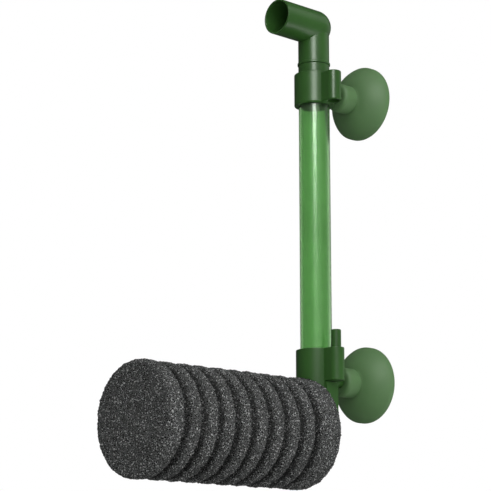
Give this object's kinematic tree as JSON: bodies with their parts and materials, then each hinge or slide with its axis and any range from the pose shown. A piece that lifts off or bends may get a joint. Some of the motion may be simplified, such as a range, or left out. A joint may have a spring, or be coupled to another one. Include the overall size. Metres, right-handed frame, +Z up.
{
  "type": "air-driven sponge filter",
  "caption": "Air-driven aquarium filter that hangs on the glass: a ribbed foam cartridge lies at the foot of a clear lift tube with a swivelling outlet elbow.",
  "frame": {"origin": "centre of the lower suction cup's rim, on the glass", "axes": "+Y into the glass, +Z up along the lift tube, +X towards the airline inlet; the foam cartridge points along -Y"},
  "size_m": [0.06, 0.1717, 0.2773],
  "materials": {
    "dark_plastic": "gloss",
    "clear_tube": "gloss",
    "cup_rubber": "satin",
    "core_plastic": "satin",
    "foam": "matte"
  },
  "bodies": {
    "base": {"base_elbow": "dark_plastic", "air_nipple": "dark_plastic", "air_jet": "core_plastic"},
    "lift": {"lift_tube": "clear_tube"},
    "holder": {"upper_holder": "dark_plastic"},
    "outlet": {"outlet_elbow": "dark_plastic"},
    "upper_cup": {"upper_suction_cup": "cup_rubber"},
    "lower_cup": {"lower_suction_cup": "cup_rubber"},
    "core": {"strainer_core": "core_plastic", "core_end_cap": "core_plastic"},
    "foam": {"foam_cartridge": "foam"}
  },
  "joints": [
    {"name": "tube_pull", "type": "slide", "parent": "base", "child": "lift", "axis": [0, 0, 1], "range_m": [0, 0.03]},
    {"name": "holder_turn", "type": "hinge", "parent": "lift", "child": "holder", "pos_m": [0, -0.0408, 0.1673], "axis": [0, 0, 1], "continuous": true},
    {"name": "outlet_swivel", "type": "hinge", "parent": "holder", "child": "outlet", "pos_m": [0, -0.0408, 0.1818], "axis": [0, 0, 1], "continuous": true},
    {"name": "upper_cup_turn", "type": "hinge", "parent": "holder", "child": "upper_cup", "pos_m": [0, -0.0179, 0.16735], "axis": [0, 1, 0], "continuous": true},
    {"name": "lower_cup_turn", "type": "hinge", "parent": "base", "child": "lower_cup", "pos_m": [0, -0.0179, 0], "axis": [0, 1, 0], "continuous": true},
    {"name": "core_pull", "type": "slide", "parent": "base", "child": "core", "axis": [0, -1, 0], "range_m": [0, 0.02]},
    {"name": "foam_pull", "type": "slide", "parent": "core", "child": "foam", "axis": [0, -1, 0], "range_m": [0, 0.115]}
  ]
}
